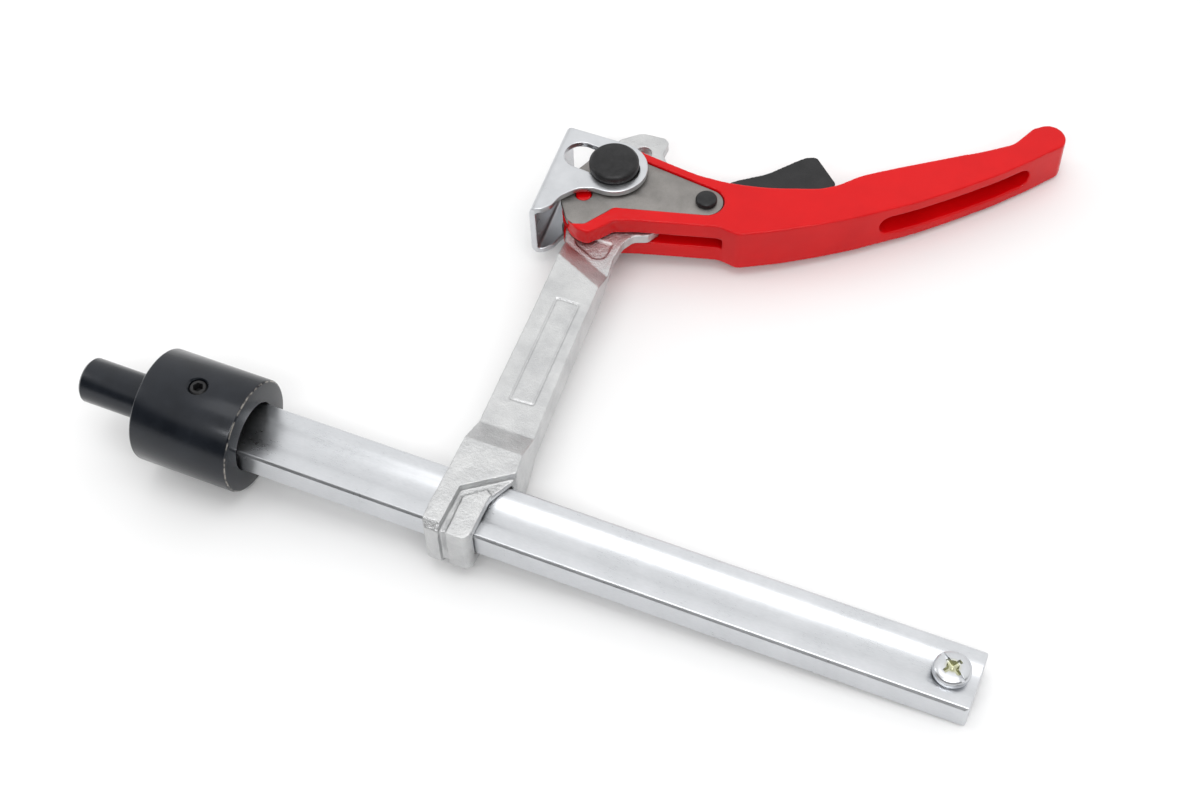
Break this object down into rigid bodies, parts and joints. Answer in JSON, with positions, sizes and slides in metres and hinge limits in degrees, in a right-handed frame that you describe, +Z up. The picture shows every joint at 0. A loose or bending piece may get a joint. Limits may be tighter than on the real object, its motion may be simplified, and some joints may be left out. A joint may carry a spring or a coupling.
{
  "type": "ratchet lever hold-down clamp",
  "caption": "Hold-down clamp for a work table: bar in a turned spigot adapter, sliding forged arm with a red ratchet lever that drives a slotted U pressure plate.",
  "frame": {"origin": "centre of the spigot's free end face", "axes": "+X along the bar away from the adapter, +Y along the sliding arm towards the pressure plate, +Z up, square to the plane of the clamp; the clamp lies on its side"},
  "size_m": [0.318, 0.2501, 0.04],
  "materials": {
    "black_oxide": "black oxide on turned steel, satin",
    "zinc": "bright zinc plate, fine brush lines",
    "forged_zinc": "zinc plate over a grainy forged surface",
    "plain_steel": "plain steel, matte",
    "black_rivet": "blackened steel, matte",
    "red_paint": "gloss powder coat over a casting",
    "black_plastic": "matte moulded plastic"
  },
  "bodies": {
    "rail": {"bar": "zinc", "adapter": "black_oxide", "set_screw": "black_oxide", "end_stop_screw": "zinc"},
    "arm": {"sliding_arm": "forged_zinc", "pivot_pin": "black_rivet"},
    "lever": {"lever": "red_paint", "cam_plate_top": "plain_steel", "cam_plate_bottom": "plain_steel", "pawl_pin": "black_rivet", "trigger_spring": "plain_steel"},
    "pressure_plate": {"pressure_plate": "zinc"},
    "trigger": {"trigger": "black_plastic", "ratchet_pawl": "plain_steel"}
  },
  "joints": [
    {"name": "arm_slide", "type": "slide", "parent": "rail", "child": "arm", "axis": [1, 0, 0], "range_m": [-0.07, 0.147]},
    {"name": "lever_swing", "type": "hinge", "parent": "arm", "child": "lever", "pos_m": [0.1353, 0.1483, 0], "axis": [0, 0, 1], "range_deg": [-28, 32]},
    {"name": "plate_slide", "type": "slide", "parent": "arm", "child": "pressure_plate", "axis": [0.9976, -0.0698, 0], "range_m": [-0.0032, 0.0037]},
    {"name": "trigger_press", "type": "hinge", "parent": "lever", "child": "trigger", "pos_m": [0.1716, 0.1476, 0], "axis": [0, 0, 1], "range_deg": [-5, 0], "stiffness_Nm_per_rad": 1, "springref_deg": 5.73}
  ],
  "couplings": [
    {"joint": "plate_slide", "follows": "lever_swing", "m_per_rad": 0.0064}
  ]
}
